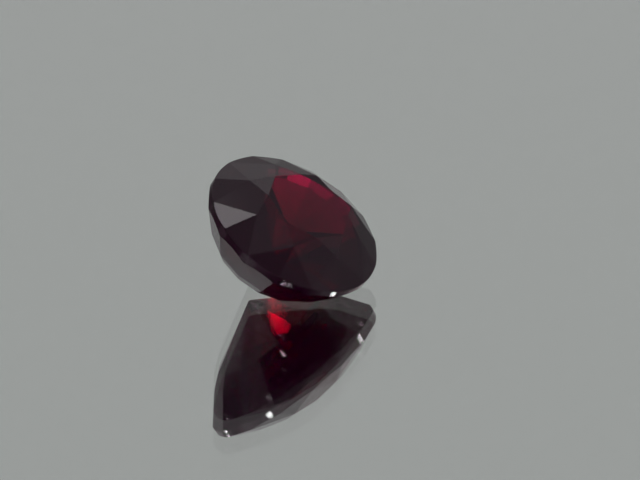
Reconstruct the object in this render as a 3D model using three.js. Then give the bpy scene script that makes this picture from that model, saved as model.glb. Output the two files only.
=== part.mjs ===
// A cut and polished spinel. It is one solid: an oval stone with a brilliant crown, a
// thick girdle and three stepped rows of facets that close in a point below it. It lies
// on one facet of its lowest row, with its table tipped up. Millimetres, +Z up.
import * as THREE from 'three';
import { ConvexGeometry } from 'three/addons/geometries/ConvexGeometry.js';

// Size of the stone, measured square to its table
const LENGTH = 9.0;
const WIDTH = 6.96;
const CROWN_HEIGHT = 0.88;
const GIRDLE_THICKNESS = 0.36; // at the facet corners, where the girdle is thickest
const PAVILION_DEPTH = 3.08; // from the girdle's lower corners to the point

// Rings of facet corners. A share is the ring's size against the girdle's.
const TABLE_SHARE = 0.494;
const STAR_SHARE = 0.686;
const UPPER_ROW = { share: 0.779, depth: 1.106 };
const MIDDLE_ROW = { share: 0.659, depth: 1.528 };

// The cut has sixteen sectors: a kite facet points at every even one, a star at every
// odd one. The girdle's round edge has a few steps in each sector.
const SECTORS = 16;
const GIRDLE_STEPS = 6;

// How the stone lies: the sector of the facet that it rests on, and its turn about Z
const RESTING_SECTOR = 8;
const TURN = THREE.MathUtils.degToRad(155.07);

const COLOUR = 0x5c1424;
const ROUGHNESS = 0.03;

const SECTOR_ANGLE = (2 * Math.PI) / SECTORS;
const HALF_SECTOR = SECTOR_ANGLE / 2;

// A point of the oval. The sector may be a fraction.
function ovalPoint(share, sector, height) {
  const angle = sector * SECTOR_ANGLE;
  return new THREE.Vector3(
    (WIDTH / 2) * share * Math.cos(angle),
    (LENGTH / 2) * share * Math.sin(angle),
    height,
  );
}

function ring(share, firstSector, sectorStep, height) {
  const points = [];
  for (let sector = firstSector; sector < SECTORS; sector += sectorStep) {
    points.push(ovalPoint(share, sector, height));
  }
  return points;
}

// The edge that a row of sixteen facets cuts into the girdle's wall. The facets meet the
// wall lowest or highest at their middles, and at the given height at their corners. The
// rise is the height a facet climbs as it runs in from the girdle to the given share.
function girdleEdge(cornerHeight, rise, share) {
  const slope = rise / (Math.cos(HALF_SECTOR) * (1 - share));
  const points = [];
  for (let step = 0; step < SECTORS * GIRDLE_STEPS; step += 1) {
    const sector = step / GIRDLE_STEPS;
    const fromMiddle = (sector % 1) * SECTOR_ANGLE - HALF_SECTOR;
    const bow = slope * (Math.cos(HALF_SECTOR) - Math.cos(fromMiddle));
    points.push(ovalPoint(1, sector, cornerHeight + bow));
  }
  return points;
}

// The star corners lie on the kite facets, between the girdle and the table's corners.
function starHeight() {
  const runToTable = 1 - TABLE_SHARE;
  const runToStars = 1 - STAR_SHARE * Math.cos(SECTOR_ANGLE);
  return (CROWN_HEIGHT * runToStars) / runToTable;
}

function crownCorners() {
  return [
    ...ring(TABLE_SHARE, 0, 2, CROWN_HEIGHT),
    ...ring(STAR_SHARE, 1, 2, starHeight()),
    ...girdleEdge(0, starHeight(), STAR_SHARE),
  ];
}

function pavilionCorners() {
  const girdleBase = -GIRDLE_THICKNESS;
  return [
    ...girdleEdge(girdleBase, -UPPER_ROW.depth, UPPER_ROW.share),
    ...ring(UPPER_ROW.share, 0, 1, girdleBase - UPPER_ROW.depth),
    ...ring(MIDDLE_ROW.share, 0, 1, girdleBase - MIDDLE_ROW.depth),
    pavilionPoint(),
  ];
}

function pavilionPoint() {
  return new THREE.Vector3(0, 0, -GIRDLE_THICKNESS - PAVILION_DEPTH);
}

// The outward direction of the lowest-row facet that the stone rests on
function restingNormal() {
  const base = pavilionPoint();
  const height = -GIRDLE_THICKNESS - MIDDLE_ROW.depth;
  const first = ovalPoint(MIDDLE_ROW.share, RESTING_SECTOR, height);
  const second = ovalPoint(MIDDLE_ROW.share, RESTING_SECTOR + 1, height);
  return new THREE.Triangle(base, second, first).getNormal(new THREE.Vector3());
}

// Lays the stone down on its resting facet, turns it, and stands the middle of its box
// on the origin.
function layDown(stone) {
  const down = new THREE.Vector3(0, 0, -1);
  const up = new THREE.Vector3(0, 0, 1);
  const tip = new THREE.Quaternion().setFromUnitVectors(restingNormal(), down);
  const turn = new THREE.Quaternion().setFromAxisAngle(up, TURN);
  stone.quaternion.multiplyQuaternions(turn, tip);
  stone.updateMatrixWorld(true);
  const box = new THREE.Box3().setFromObject(stone, true);
  const middle = box.getCenter(new THREE.Vector3());
  stone.position.set(-middle.x, -middle.y, -box.min.z);
}

function makeStone() {
  const geometry = new ConvexGeometry([...crownCorners(), ...pavilionCorners()]);
  const material = new THREE.MeshStandardMaterial({
    color: COLOUR,
    roughness: ROUGHNESS,
    metalness: 0,
    transparent: true,
    opacity: 0.6,
    flatShading: true,
  });
  const stone = new THREE.Mesh(geometry, material);
  stone.name = 'spinel_stone';
  layDown(stone);
  return stone;
}

const spinel = new THREE.Group();
spinel.add(makeStone());

export default spinel;
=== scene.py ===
"""An oval cut spinel on a sheet with a silvered back, under lights placed facet by facet."""

import math

import bpy
from mathutils import Matrix, Quaternion, Vector


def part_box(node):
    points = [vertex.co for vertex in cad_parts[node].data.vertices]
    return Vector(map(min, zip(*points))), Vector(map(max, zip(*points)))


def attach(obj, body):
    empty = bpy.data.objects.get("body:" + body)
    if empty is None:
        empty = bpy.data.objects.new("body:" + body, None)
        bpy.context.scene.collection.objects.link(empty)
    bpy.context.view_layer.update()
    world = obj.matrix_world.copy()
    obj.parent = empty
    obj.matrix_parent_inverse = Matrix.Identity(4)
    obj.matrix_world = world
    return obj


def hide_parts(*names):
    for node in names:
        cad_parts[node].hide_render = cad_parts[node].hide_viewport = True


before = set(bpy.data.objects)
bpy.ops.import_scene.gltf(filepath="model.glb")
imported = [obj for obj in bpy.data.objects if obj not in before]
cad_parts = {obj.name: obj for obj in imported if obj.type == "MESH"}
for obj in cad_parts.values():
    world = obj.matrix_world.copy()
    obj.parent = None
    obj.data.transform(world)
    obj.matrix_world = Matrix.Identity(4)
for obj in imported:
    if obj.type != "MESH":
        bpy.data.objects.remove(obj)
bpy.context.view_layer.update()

bl_info = {
    "name": "Cut Spinel",
    "version": (1, 0, 0),
    "blender": (4, 5, 0),
    "location": "3D View > Sidebar > Cut Spinel",
    "description": "Cuts an oval spinel and lays it on a silvered sheet under placed lights",
    "category": "Add Mesh",
}

NODE = "spinel_stone"
MM = 0.001

# The cut goes round in equal sectors, each with a few of the girdle's short walls
SECTORS = 16
SECTOR_ANGLE = 2 * math.pi / SECTORS
GIRDLE_STEPS = 6

# Sawing, in millimetres: rough beyond the stone, a place inside it, how near a cut a
# point lies on it, how near corners are joined, and what counts as flat and as upright
SPARE = 0.2
INSIDE = (0.0, 0.0, -0.5)
SAW_LIMIT = 0.0001
WELD = 0.003
FLAT_ANGLE = math.radians(0.2)
UPRIGHT_LIMIT = 0.01

# The crystal's two tints, and how much coarser the girdle's lines are
TINTS = ((0.88, 0.03, 0.58), (0.82, 0.02, 0.54))
GIRDLE_LINES = 6.0

# The sheet lies just under the stone, and its silvered back just under the sheet
SHEET_GAP = 0.005 * MM
BACK_DEPTH = 2.0 * MM

# The picture, the floor point under the middle of the stone's rim, and its place there
IMAGE_WIDTH = 640
IMAGE_HEIGHT = 480
SENSOR_WIDTH = 36.0
FOOT = (0.0835 * MM, -0.0258 * MM, 0.0)
FOOT_PIXEL = (296.54, 290.0)

# Every light hangs this far from the stone, in metres
LAMP_DISTANCE = 2.0

# The softbox above the stone: azimuth, elevation and spread in degrees
SOFTBOX = (71.0, 61.0, 9.0)

# Soft bright patches of the room, set to suit the tones of single facets in the front view:
# azimuth, elevation, full out to, gone at, brightness
PATCHES = (
    (91.0, 25.0, 12.0, 24.0, 0.187),
    (264.0, 4.0, 10.0, 36.0, 0.38),
    (216.0, 28.0, 6.0, 22.0, 0.33),
    (24.0, 4.0, 10.0, 36.0, 0.1),
    (48.0, 64.0, 10.0, 36.0, 0.17),
    (84.0, 64.0, 6.0, 20.0, 0.15),
    (105.0, 60.0, 4.0, 9.0, 1.25),
    (156.0, 40.0, 3.0, 12.0, 0.45),
    (119.0, 48.0, 5.0, 18.0, 0.33),
    (70.0, 38.0, 5.0, 13.0, 0.18),
    (180.0, 17.0, 9.0, 18.0, 0.18),
    (-4.0, 15.0, 8.0, 15.0, 0.18),
    (22.0, 54.0, 4.0, 14.0, 0.1),
    (81.0, 53.5, 2.5, 6.0, 0.4),
    (101.0, 51.0, 3.0, 7.0, 0.3),
    (119.5, 49.0, 3.0, 6.5, 0.4),
    (122.0, 26.0, 3.0, 8.0, 0.22),
    (136.0, 12.0, 6.0, 14.0, 0.1),
    (228.0, 14.0, 9.0, 16.0, 0.15),
    (-45.0, 15.0, 12.0, 20.0, 0.18),
)

# Small bare lamps, each aimed to give one glint or glow in the front view:
# azimuth, elevation, spread in degrees, brightness
LAMPS = (
    (102.9, 15.7, 0.4, 65.0),
    (-76.5, 51.9, 0.3, 60.0),
    (-65.5, 55.9, 0.25, 45.0),
    (-101.5, 12.6, 0.15, 400.0),
    (150.9, 46.7, 0.3, 80.0),
    (33.7, 55.2, 0.7, 14.0),
    (178.5, 49.3, 2.0, 15.0),
    (27.5, 12.6, 1.0, 12.0),
)


def length_property(name, description, default):
    return bpy.props.FloatProperty(
        name=name,
        description=description,
        default=default * MM,
        min=0.0,
        precision=6,
        subtype="DISTANCE",
        unit="LENGTH",
    )


def share_property(name, description, default):
    return bpy.props.FloatProperty(
        name=name,
        description=description,
        default=default,
        min=0.05,
        max=0.98,
        subtype="FACTOR",
    )


def angle_property(name, description, default):
    return bpy.props.FloatProperty(
        name=name,
        description=description,
        default=math.radians(default),
        subtype="ANGLE",
        unit="ROTATION",
    )


def number_property(name, description, default):
    return bpy.props.FloatProperty(
        name=name,
        description=description,
        default=default,
        min=0.0,
        precision=4,
    )


class SpinelCut(bpy.types.PropertyGroup):
    """Sizes of the stone, square to its table"""

    length: length_property("Length", "Length of the oval girdle", 9.0)
    width: length_property("Width", "Width of the oval girdle", 6.96)
    crown_height: length_property("Crown height", "From the girdle up to the table", 0.88)
    girdle: length_property("Girdle", "Thickness of the girdle at the facet corners", 0.36)
    pavilion_depth: length_property("Pavilion depth", "From the girdle down to the point", 3.08)
    table: share_property("Table", "Size of the table against the girdle", 0.494)
    stars: share_property("Stars", "Size of the ring of star corners against the girdle", 0.686)
    upper_share: share_property("Upper row", "Size of the upper row's lower ring", 0.779)
    upper_depth: length_property("Upper depth", "Depth of the upper row's lower ring", 1.106)
    middle_share: share_property("Middle row", "Size of the middle row's lower ring", 0.659)
    middle_depth: length_property("Middle depth", "Depth of the middle row's lower ring", 1.528)
    resting_sector: bpy.props.IntProperty(
        name="Resting sector",
        description="Sector of the lowest-row facet that the stone lies on",
        default=8,
        min=0,
        max=SECTORS - 1,
    )
    turn: angle_property("Turn", "Turn of the stone about the vertical", 155.07)
    edge_width: length_property("Edge width", "Width of the polished-off facet edges", 0.012)


class SpinelFinish(bpy.types.PropertyGroup):
    """Colour and polish of the crystal"""

    light_kept: bpy.props.FloatVectorProperty(
        name="Light kept",
        description="Colour that the crystal absorbs least",
        default=(0.8, 0.0, 0.56),
        min=0.0,
        max=1.0,
        subtype="COLOR",
    )
    absorption: number_property("Absorption", "Absorption per metre of crystal", 2200.0)
    refraction: number_property("Refraction", "Refractive index of spinel", 1.718)
    clarity: number_property("Clarity", "Share of the light that the crystal lets in", 0.945)
    polish: number_property("Polish", "Roughness of a cleanly polished facet", 0.001)
    smudges: number_property("Smudges", "Roughness that handling marks add", 0.03)
    girdle_polish: number_property("Girdle polish", "Roughness of the girdle's wall", 0.04)


class SpinelStudio(bpy.types.PropertyGroup):
    """The sheet, the light and the camera"""

    sheet_thickness: length_property("Sheet", "Thickness of the clear sheet", 0.93)
    sheet_size: length_property("Sheet size", "Length of the sheet's sides", 900.0)
    walls: number_property("Walls", "Brightness of the room's walls", 0.17)
    softbox: number_property("Softbox", "Brightness of the light above the stone", 1.3)
    lamps: number_property("Lamps", "Brightness of the small bare lamps", 1.0)
    camera_distance: length_property("Camera distance", "From the camera to the stone", 96.495)
    camera_elevation: angle_property("Camera elevation", "Sight line above the sheet", 23.885)
    focal_pixels: number_property("Focal length", "Camera's focal length in pixels", 2500.0)


# Shader maths


class Wire:
    """A shader output with arithmetic. Each operation adds one Math node."""

    def __init__(self, bench, socket):
        self.bench = bench
        self.socket = socket

    def math(self, operation, first, second):
        settings = {"operation": operation}
        return self.bench.node("ShaderNodeMath", settings, {0: first, 1: second})

    def __add__(self, other):
        return self.math("ADD", self, other)

    def __radd__(self, other):
        return self.math("ADD", other, self)

    def __mul__(self, other):
        return self.math("MULTIPLY", self, other)

    def __rmul__(self, other):
        return self.math("MULTIPLY", other, self)

    def spread(self, low, high, new_low=0.0, new_high=1.0):
        """Maps low..high to new_low..new_high with soft ends"""
        settings = {"interpolation_type": "SMOOTHSTEP"}
        values = {0: self, 1: low, 2: high, 3: new_low, 4: new_high}
        return self.bench.node("ShaderNodeMapRange", settings, values)


class Bench:
    """Makes the nodes of one material or world"""

    def __init__(self, tree):
        self.tree = tree
        self.tree.nodes.clear()

    def node(self, kind, settings=None, inputs=None, output=0):
        made = self.tree.nodes.new(kind)
        for name, value in (settings or {}).items():
            setattr(made, name, value)
        for name, value in (inputs or {}).items():
            self.feed(made.inputs[name], value)
        return Wire(self, made.outputs[output]) if made.outputs else None

    def feed(self, socket, value):
        if isinstance(value, Wire):
            self.tree.links.new(value.socket, socket)
        elif hasattr(socket.default_value, "__len__"):
            wanted = len(socket.default_value)
            given = tuple(value)
            socket.default_value = given + (1.0,) * (wanted - len(given))
        else:
            socket.default_value = value

    def blend(self, factor, first, second):
        """One colour or the other, by a factor"""
        settings = {"data_type": "RGBA", "clamp_factor": True}
        return self.node("ShaderNodeMix", settings, {0: factor, 6: first, 7: second}, 2)

    def along(self, place, direction):
        """How far a place or direction lies along another"""
        settings = {"operation": "DOT_PRODUCT"}
        return self.node("ShaderNodeVectorMath", settings, {0: place, 1: direction}, "Value")


# The stone


def oval_point(cut, share, sector, height):
    """A point of the oval in millimetres. The sector may be a fraction."""
    angle = sector * SECTOR_ANGLE
    return Vector(
        (
            cut.width / MM / 2 * share * math.cos(angle),
            cut.length / MM / 2 * share * math.sin(angle),
            height,
        )
    )


def facet_planes(cut):
    """Three corners of each facet, in the order in which the stone is cut"""
    crown = cut.crown_height / MM
    base = -cut.girdle / MM
    upper = base - cut.upper_depth / MM
    middle = base - cut.middle_depth / MM
    point = Vector((0.0, 0.0, base - cut.pavilion_depth / MM))
    star_run = 1.0 - cut.stars * math.cos(SECTOR_ANGLE)
    star_height = crown * star_run / (1.0 - cut.table)
    planes = [[oval_point(cut, cut.table, sector, crown) for sector in (0, 4, 8)]]
    for sector in range(0, SECTORS, 2):
        planes.append(
            [
                oval_point(cut, 1.0, sector, 0.0),
                oval_point(cut, cut.stars, sector - 1, star_height),
                oval_point(cut, cut.stars, sector + 1, star_height),
            ]
        )
    for sector in range(1, SECTORS, 2):
        planes.append(
            [
                oval_point(cut, cut.stars, sector, star_height),
                oval_point(cut, cut.table, sector - 1, crown),
                oval_point(cut, cut.table, sector + 1, crown),
            ]
        )
    for sector in range(SECTORS):
        star = sector if sector % 2 else sector + 1
        planes.append(
            [
                oval_point(cut, 1.0, sector, 0.0),
                oval_point(cut, 1.0, sector + 1, 0.0),
                oval_point(cut, cut.stars, star, star_height),
            ]
        )
    for sector in range(SECTORS):
        planes.append(
            [
                oval_point(cut, 1.0, sector, base),
                oval_point(cut, 1.0, sector + 1, base),
                oval_point(cut, cut.upper_share, sector, upper),
            ]
        )
    for sector in range(SECTORS):
        planes.append(
            [
                oval_point(cut, cut.upper_share, sector, upper),
                oval_point(cut, cut.upper_share, sector + 1, upper),
                oval_point(cut, cut.middle_share, sector, middle),
            ]
        )
    for sector in range(SECTORS):
        planes.append(
            [
                oval_point(cut, cut.middle_share, sector, middle),
                oval_point(cut, cut.middle_share, sector + 1, middle),
                point,
            ]
        )
    return planes


def outward(corners):
    """The direction of a facet, away from the middle of the stone"""
    first, second, third = corners
    normal = (second - first).cross(third - first).normalized()
    return normal if normal.dot(first - Vector(INSIDE)) > 0 else -normal


def saw_facets(cut):
    """Cuts every facet off the rough in edit mode"""
    bpy.ops.object.mode_set(mode="EDIT")
    for corners in facet_planes(cut):
        bpy.ops.mesh.select_all(action="SELECT")
        bpy.ops.mesh.bisect(
            plane_co=corners[0],
            plane_no=outward(corners),
            use_fill=True,
            clear_outer=True,
            threshold=SAW_LIMIT,
        )
    bpy.ops.mesh.select_all(action="SELECT")
    bpy.ops.mesh.remove_doubles(threshold=WELD)
    bpy.ops.mesh.dissolve_limited(angle_limit=FLAT_ANGLE)
    bpy.ops.mesh.normals_make_consistent(inside=False)
    bpy.ops.object.mode_set(mode="OBJECT")


def is_wall(face):
    """Whether a face belongs to the girdle's upright wall"""
    return abs(face.normal.z) < UPRIGHT_LIMIT


def soften_edges(stone, width):
    """Takes the sharpness off every facet edge, as the polishing wheel does"""
    mesh = stone.data
    faces_of = {tuple(sorted(edge.vertices)): [] for edge in mesh.edges}
    for face in mesh.polygons:
        for key in face.edge_keys:
            faces_of[key].append(face)
    bpy.ops.object.mode_set(mode="EDIT")
    bpy.ops.mesh.select_mode(type="EDGE")
    bpy.ops.mesh.select_all(action="DESELECT")
    bpy.ops.object.mode_set(mode="OBJECT")
    for edge in mesh.edges:
        faces = faces_of[tuple(sorted(edge.vertices))]
        edge.select = not all(is_wall(face) for face in faces)
    bpy.ops.object.mode_set(mode="EDIT")
    bpy.ops.mesh.bevel(offset=width, offset_type="OFFSET", segments=1, affect="EDGES")
    bpy.ops.object.mode_set(mode="OBJECT")


def mark_girdle(mesh):
    """Writes 1 on the faces of the girdle's wall and 0 on the rest"""
    mark = mesh.attributes.new("girdle_wall", "FLOAT", "FACE")
    for face in mesh.polygons:
        mark.data[face.index].value = 1.0 if is_wall(face) else 0.0


def lay_down(stone, cut):
    """Lays the stone on its resting facet, turns it and puts it in the CAD stone's box"""
    resting = facet_planes(cut)[-SECTORS + cut.resting_sector]
    tip = outward(resting).rotation_difference(Vector((0.0, 0.0, -1.0)))
    turn = Quaternion((0.0, 0.0, 1.0), cut.turn)
    placement = (turn @ tip).to_matrix().to_4x4()
    corners = [placement @ vertex.co for vertex in stone.data.vertices]
    low = Vector([min(corner[axis] for corner in corners) for axis in range(3)])
    high = Vector([max(corner[axis] for corner in corners) for axis in range(3)])
    cad_low, cad_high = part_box(NODE)
    shift = (Vector(cad_low) + Vector(cad_high)) / 2 - (low + high) / 2 * MM
    shift.z = Vector(cad_low).z - low.z * MM
    stone.matrix_world = Matrix.Translation(shift) @ placement @ Matrix.Scale(MM, 4)
    bpy.ops.object.transform_apply(location=True, rotation=True, scale=True)


def spinel_material(finish):
    """Clear red spinel: light is lost in its depth, and the polish has faint marks"""
    material = bpy.data.materials.new("polished_spinel")
    material.use_nodes = True
    bench = Bench(material.node_tree)
    place = bench.node("ShaderNodeTexCoord", output="Object")
    wall = bench.node("ShaderNodeAttribute", {"attribute_name": "girdle_wall"}, output="Fac")

    # Handling marks: broad soft smudges with finer streaks in them
    smudge_size = {"Scale": 420.0, "Detail": 3.0, "Roughness": 0.55}
    smudge = bench.node("ShaderNodeTexNoise", None, {"Vector": place, **smudge_size}, "Fac")
    stretch = {"Vector": place, "Rotation": (0.4, 0.2, 1.1), "Scale": (1.0, 14.0, 5.0)}
    streak_place = bench.node("ShaderNodeMapping", {"vector_type": "POINT"}, stretch)
    streak_size = {"Scale": 900.0, "Detail": 2.0, "Roughness": 0.6}
    streaks = bench.node("ShaderNodeTexNoise", None, {"Vector": streak_place, **streak_size}, "Fac")
    marks = smudge.spread(0.52, 0.78) * streaks.spread(0.35, 0.75)
    roughness = finish.polish + marks * finish.smudges + wall * finish.girdle_polish

    # The wheel leaves fine lines on the facets and coarser upright ones on the girdle
    lines = {"Scale": 5200.0, "Detail": 2.0, "Roughness": 0.5}
    wheel = bench.node("ShaderNodeTexNoise", None, {"Vector": streak_place, **lines}, "Fac")
    height = wheel + wall * streaks * GIRDLE_LINES
    bump = {"Strength": 0.04, "Distance": 0.004 * MM, "Height": height}
    fine = bench.node("ShaderNodeBump", None, bump)

    tint_size = {"Scale": 260.0, "Detail": 1.0}
    tint = bench.node("ShaderNodeTexNoise", None, {"Vector": place, **tint_size}, "Fac")
    colour = bench.blend(tint.spread(0.35, 0.7), *TINTS)
    crystal = bench.node(
        "ShaderNodeBsdfPrincipled",
        None,
        {
            "Base Color": colour,
            "Roughness": roughness,
            "IOR": finish.refraction,
            "Transmission Weight": finish.clarity,
            "Normal": fine,
        },
    )
    depth = bench.node(
        "ShaderNodeVolumeAbsorption",
        None,
        {"Color": finish.light_kept, "Density": finish.absorption},
    )
    bench.node("ShaderNodeOutputMaterial", None, {"Surface": crystal, "Volume": depth})
    return material


def start_piece():
    """Deselects all that is selected, so that an operator acts on the new piece alone"""
    if bpy.context.object and bpy.context.object.mode != "OBJECT":
        bpy.ops.object.mode_set(mode="OBJECT")
    bpy.ops.object.select_all(action="DESELECT")


class SPINEL_OT_cut_stone(bpy.types.Operator):
    """Cuts the oval stone, softens its edges, lays it down and polishes it"""

    bl_idname = "spinel.cut_stone"
    bl_label = "Cut Stone"
    bl_options = {"REGISTER", "UNDO"}

    def execute(self, context):
        cut = context.scene.spinel_cut
        start_piece()
        top = cut.crown_height / MM + SPARE
        bottom = -(cut.girdle + cut.pavilion_depth) / MM - SPARE
        bpy.ops.mesh.primitive_cylinder_add(
            vertices=SECTORS * GIRDLE_STEPS,
            radius=1.0,
            depth=top - bottom,
            location=(0.0, 0.0, (top + bottom) / 2),
        )
        stone = context.object
        stone.name = "cut_spinel"
        stone.scale = (cut.width / MM / 2, cut.length / MM / 2, 1.0)
        bpy.ops.object.transform_apply(location=True, rotation=True, scale=True)
        saw_facets(cut)
        if len(stone.data.polygons) < len(facet_planes(cut)) + SECTORS * GIRDLE_STEPS:
            raise RuntimeError("a facet is missing from the cut stone")
        soften_edges(stone, cut.edge_width / MM)
        mark_girdle(stone.data)
        lay_down(stone, cut)
        bpy.ops.object.shade_flat()
        stone.data.materials.append(spinel_material(context.scene.spinel_finish))
        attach(stone, "root")
        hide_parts(NODE)
        return {"FINISHED"}


# The stage


def clear_sheet_material():
    """Clear colourless glass"""
    material = bpy.data.materials.new("clear_sheet")
    material.use_nodes = True
    bench = Bench(material.node_tree)
    glass = bench.node(
        "ShaderNodeBsdfPrincipled",
        None,
        {
            "Base Color": (1.0, 1.0, 1.0),
            "Roughness": 0.0,
            "IOR": 1.5,
            "Transmission Weight": 1.0,
        },
    )
    bench.node("ShaderNodeOutputMaterial", None, {"Surface": glass})
    return material


def silvered_back_material():
    """The pale silvered back of the sheet"""
    material = bpy.data.materials.new("silvered_back")
    material.use_nodes = True
    bench = Bench(material.node_tree)
    silver = bench.node(
        "ShaderNodeBsdfPrincipled",
        None,
        {"Base Color": (0.9, 0.92, 0.91), "Metallic": 1.0, "Roughness": 0.0},
    )
    bench.node("ShaderNodeOutputMaterial", None, {"Surface": silver})
    return material


def lay_sheet(studio):
    """The clear sheet under the stone, and its silvered back"""
    back_top = -SHEET_GAP - studio.sheet_thickness - SHEET_GAP
    for name, top, depth, material in (
        ("floor_sheet", -SHEET_GAP, studio.sheet_thickness, clear_sheet_material()),
        ("floor_back", back_top, BACK_DEPTH, silvered_back_material()),
    ):
        start_piece()
        bpy.ops.mesh.primitive_cube_add(size=1.0, location=(0.0, 0.0, top - depth / 2))
        slab = bpy.context.object
        slab.name = name
        slab.scale = (studio.sheet_size, studio.sheet_size, depth)
        bpy.ops.object.transform_apply(location=True, rotation=True, scale=True)
        slab.data.materials.append(material)


def compass(azimuth, elevation):
    """A direction from degrees: azimuth from +X towards +Y, elevation above the sheet"""
    turn = math.radians(azimuth)
    rise = math.radians(elevation)
    flat = math.cos(rise)
    return Vector((flat * math.cos(turn), flat * math.sin(turn), math.sin(rise)))


def light_world(studio):
    """A grey room with a dim ceiling, and its soft bright patches"""
    world = bpy.data.worlds.new("pale_room")
    world.use_nodes = True
    bench = Bench(world.node_tree)
    sight = bench.node("ShaderNodeTexCoord", output="Generated")
    rise = bench.along(sight, (0.0, 0.0, 1.0))
    strength = studio.walls * rise.spread(0.0, 0.3, 0.52, 1.0) * rise.spread(0.5, 0.9, 1.0, 0.05)
    for azimuth, elevation, core, rim, brightness in PATCHES:
        nearness = bench.along(sight, compass(azimuth, elevation))
        inner = math.cos(math.radians(core))
        outer = math.cos(math.radians(rim))
        strength = strength + nearness.spread(outer, inner) * brightness
    background = bench.node(
        "ShaderNodeBackground",
        None,
        {"Color": (0.985, 1.0, 0.99), "Strength": strength},
    )
    bench.node("ShaderNodeOutputWorld", None, {"Surface": background})
    bpy.context.scene.world = world


def hang_softbox(name, azimuth, elevation, spread, brightness):
    """A square light that faces the stone, as wide as the spread in degrees"""
    towards = compass(azimuth, elevation)
    side = 2 * LAMP_DISTANCE * math.tan(math.radians(spread) / 2)
    light = bpy.data.lights.new(name, "AREA")
    light.shape = "SQUARE"
    light.size = side
    light.energy = brightness * math.pi * side * side
    lamp = bpy.data.objects.new(name, light)
    lamp.location = towards * LAMP_DISTANCE
    lamp.rotation_mode = "QUATERNION"
    lamp.rotation_quaternion = (-towards).to_track_quat("-Z", "Y")
    bpy.context.scene.collection.objects.link(lamp)


def set_camera(studio):
    """The camera, aimed so that the floor point lands at its place in the picture"""
    rise = studio.camera_elevation
    foot = Vector(FOOT)
    sight = Vector((0.0, math.cos(rise), -math.sin(rise)))
    right = Vector((1.0, 0.0, 0.0))
    up = right.cross(sight)
    aside = (IMAGE_WIDTH / 2 - FOOT_PIXEL[0]) / studio.focal_pixels
    above = (FOOT_PIXEL[1] - IMAGE_HEIGHT / 2) / studio.focal_pixels
    axis = (sight + right * aside + up * above).normalized()
    data = bpy.data.cameras.new("camera")
    data.sensor_width = SENSOR_WIDTH
    data.lens = studio.focal_pixels / IMAGE_WIDTH * SENSOR_WIDTH
    data.clip_start = 0.001
    data.clip_end = 10.0
    camera = bpy.data.objects.new("camera", data)
    camera.location = foot - sight * studio.camera_distance
    camera.rotation_mode = "QUATERNION"
    camera.rotation_quaternion = axis.to_track_quat("-Z", "Y")
    bpy.context.scene.collection.objects.link(camera)
    bpy.context.scene.camera = camera


def set_exposure(scene):
    """The picture's contrast, and enough bounces for light to cross the stone"""
    scene.view_settings.view_transform = "Standard"
    scene.view_settings.gamma = 0.8
    scene.view_settings.exposure = 0.32
    scene.cycles.max_bounces = 32
    scene.cycles.glossy_bounces = 24
    scene.cycles.transmission_bounces = 32
    scene.cycles.blur_glossy = 0.0


class SPINEL_OT_set_stage(bpy.types.Operator):
    """Lays the sheet, lights the room and sets up the camera"""

    bl_idname = "spinel.set_stage"
    bl_label = "Set Stage"
    bl_options = {"REGISTER", "UNDO"}

    def execute(self, context):
        studio = context.scene.spinel_studio
        lay_sheet(studio)
        light_world(studio)
        hang_softbox("softbox_above", *SOFTBOX, studio.softbox)
        for azimuth, elevation, spread, brightness in LAMPS:
            hang_softbox("lamp", azimuth, elevation, spread, studio.lamps * brightness)
        set_camera(studio)
        set_exposure(context.scene)
        return {"FINISHED"}


class SPINEL_PT_sidebar(bpy.types.Panel):
    """The cut, the finish and the stage"""

    bl_idname = "SPINEL_PT_sidebar"
    bl_label = "Cut Spinel"
    bl_space_type = "VIEW_3D"
    bl_region_type = "UI"
    bl_category = "Cut Spinel"

    def draw(self, context):
        scene = context.scene
        for group in (scene.spinel_cut, scene.spinel_finish, scene.spinel_studio):
            box = self.layout.box()
            for name in group.__annotations__:
                box.prop(group, name)
        self.layout.operator(SPINEL_OT_cut_stone.bl_idname)
        self.layout.operator(SPINEL_OT_set_stage.bl_idname)


CLASSES = (
    SpinelCut,
    SpinelFinish,
    SpinelStudio,
    SPINEL_OT_cut_stone,
    SPINEL_OT_set_stage,
    SPINEL_PT_sidebar,
)


def register():
    for item in CLASSES:
        bpy.utils.register_class(item)
    bpy.types.Scene.spinel_cut = bpy.props.PointerProperty(type=SpinelCut)
    bpy.types.Scene.spinel_finish = bpy.props.PointerProperty(type=SpinelFinish)
    bpy.types.Scene.spinel_studio = bpy.props.PointerProperty(type=SpinelStudio)


def unregister():
    del bpy.types.Scene.spinel_studio
    del bpy.types.Scene.spinel_finish
    del bpy.types.Scene.spinel_cut
    for item in reversed(CLASSES):
        bpy.utils.unregister_class(item)


def main():
    register()
    bpy.ops.spinel.cut_stone()
    bpy.ops.spinel.set_stage()


if __name__ == "__main__":
    main()
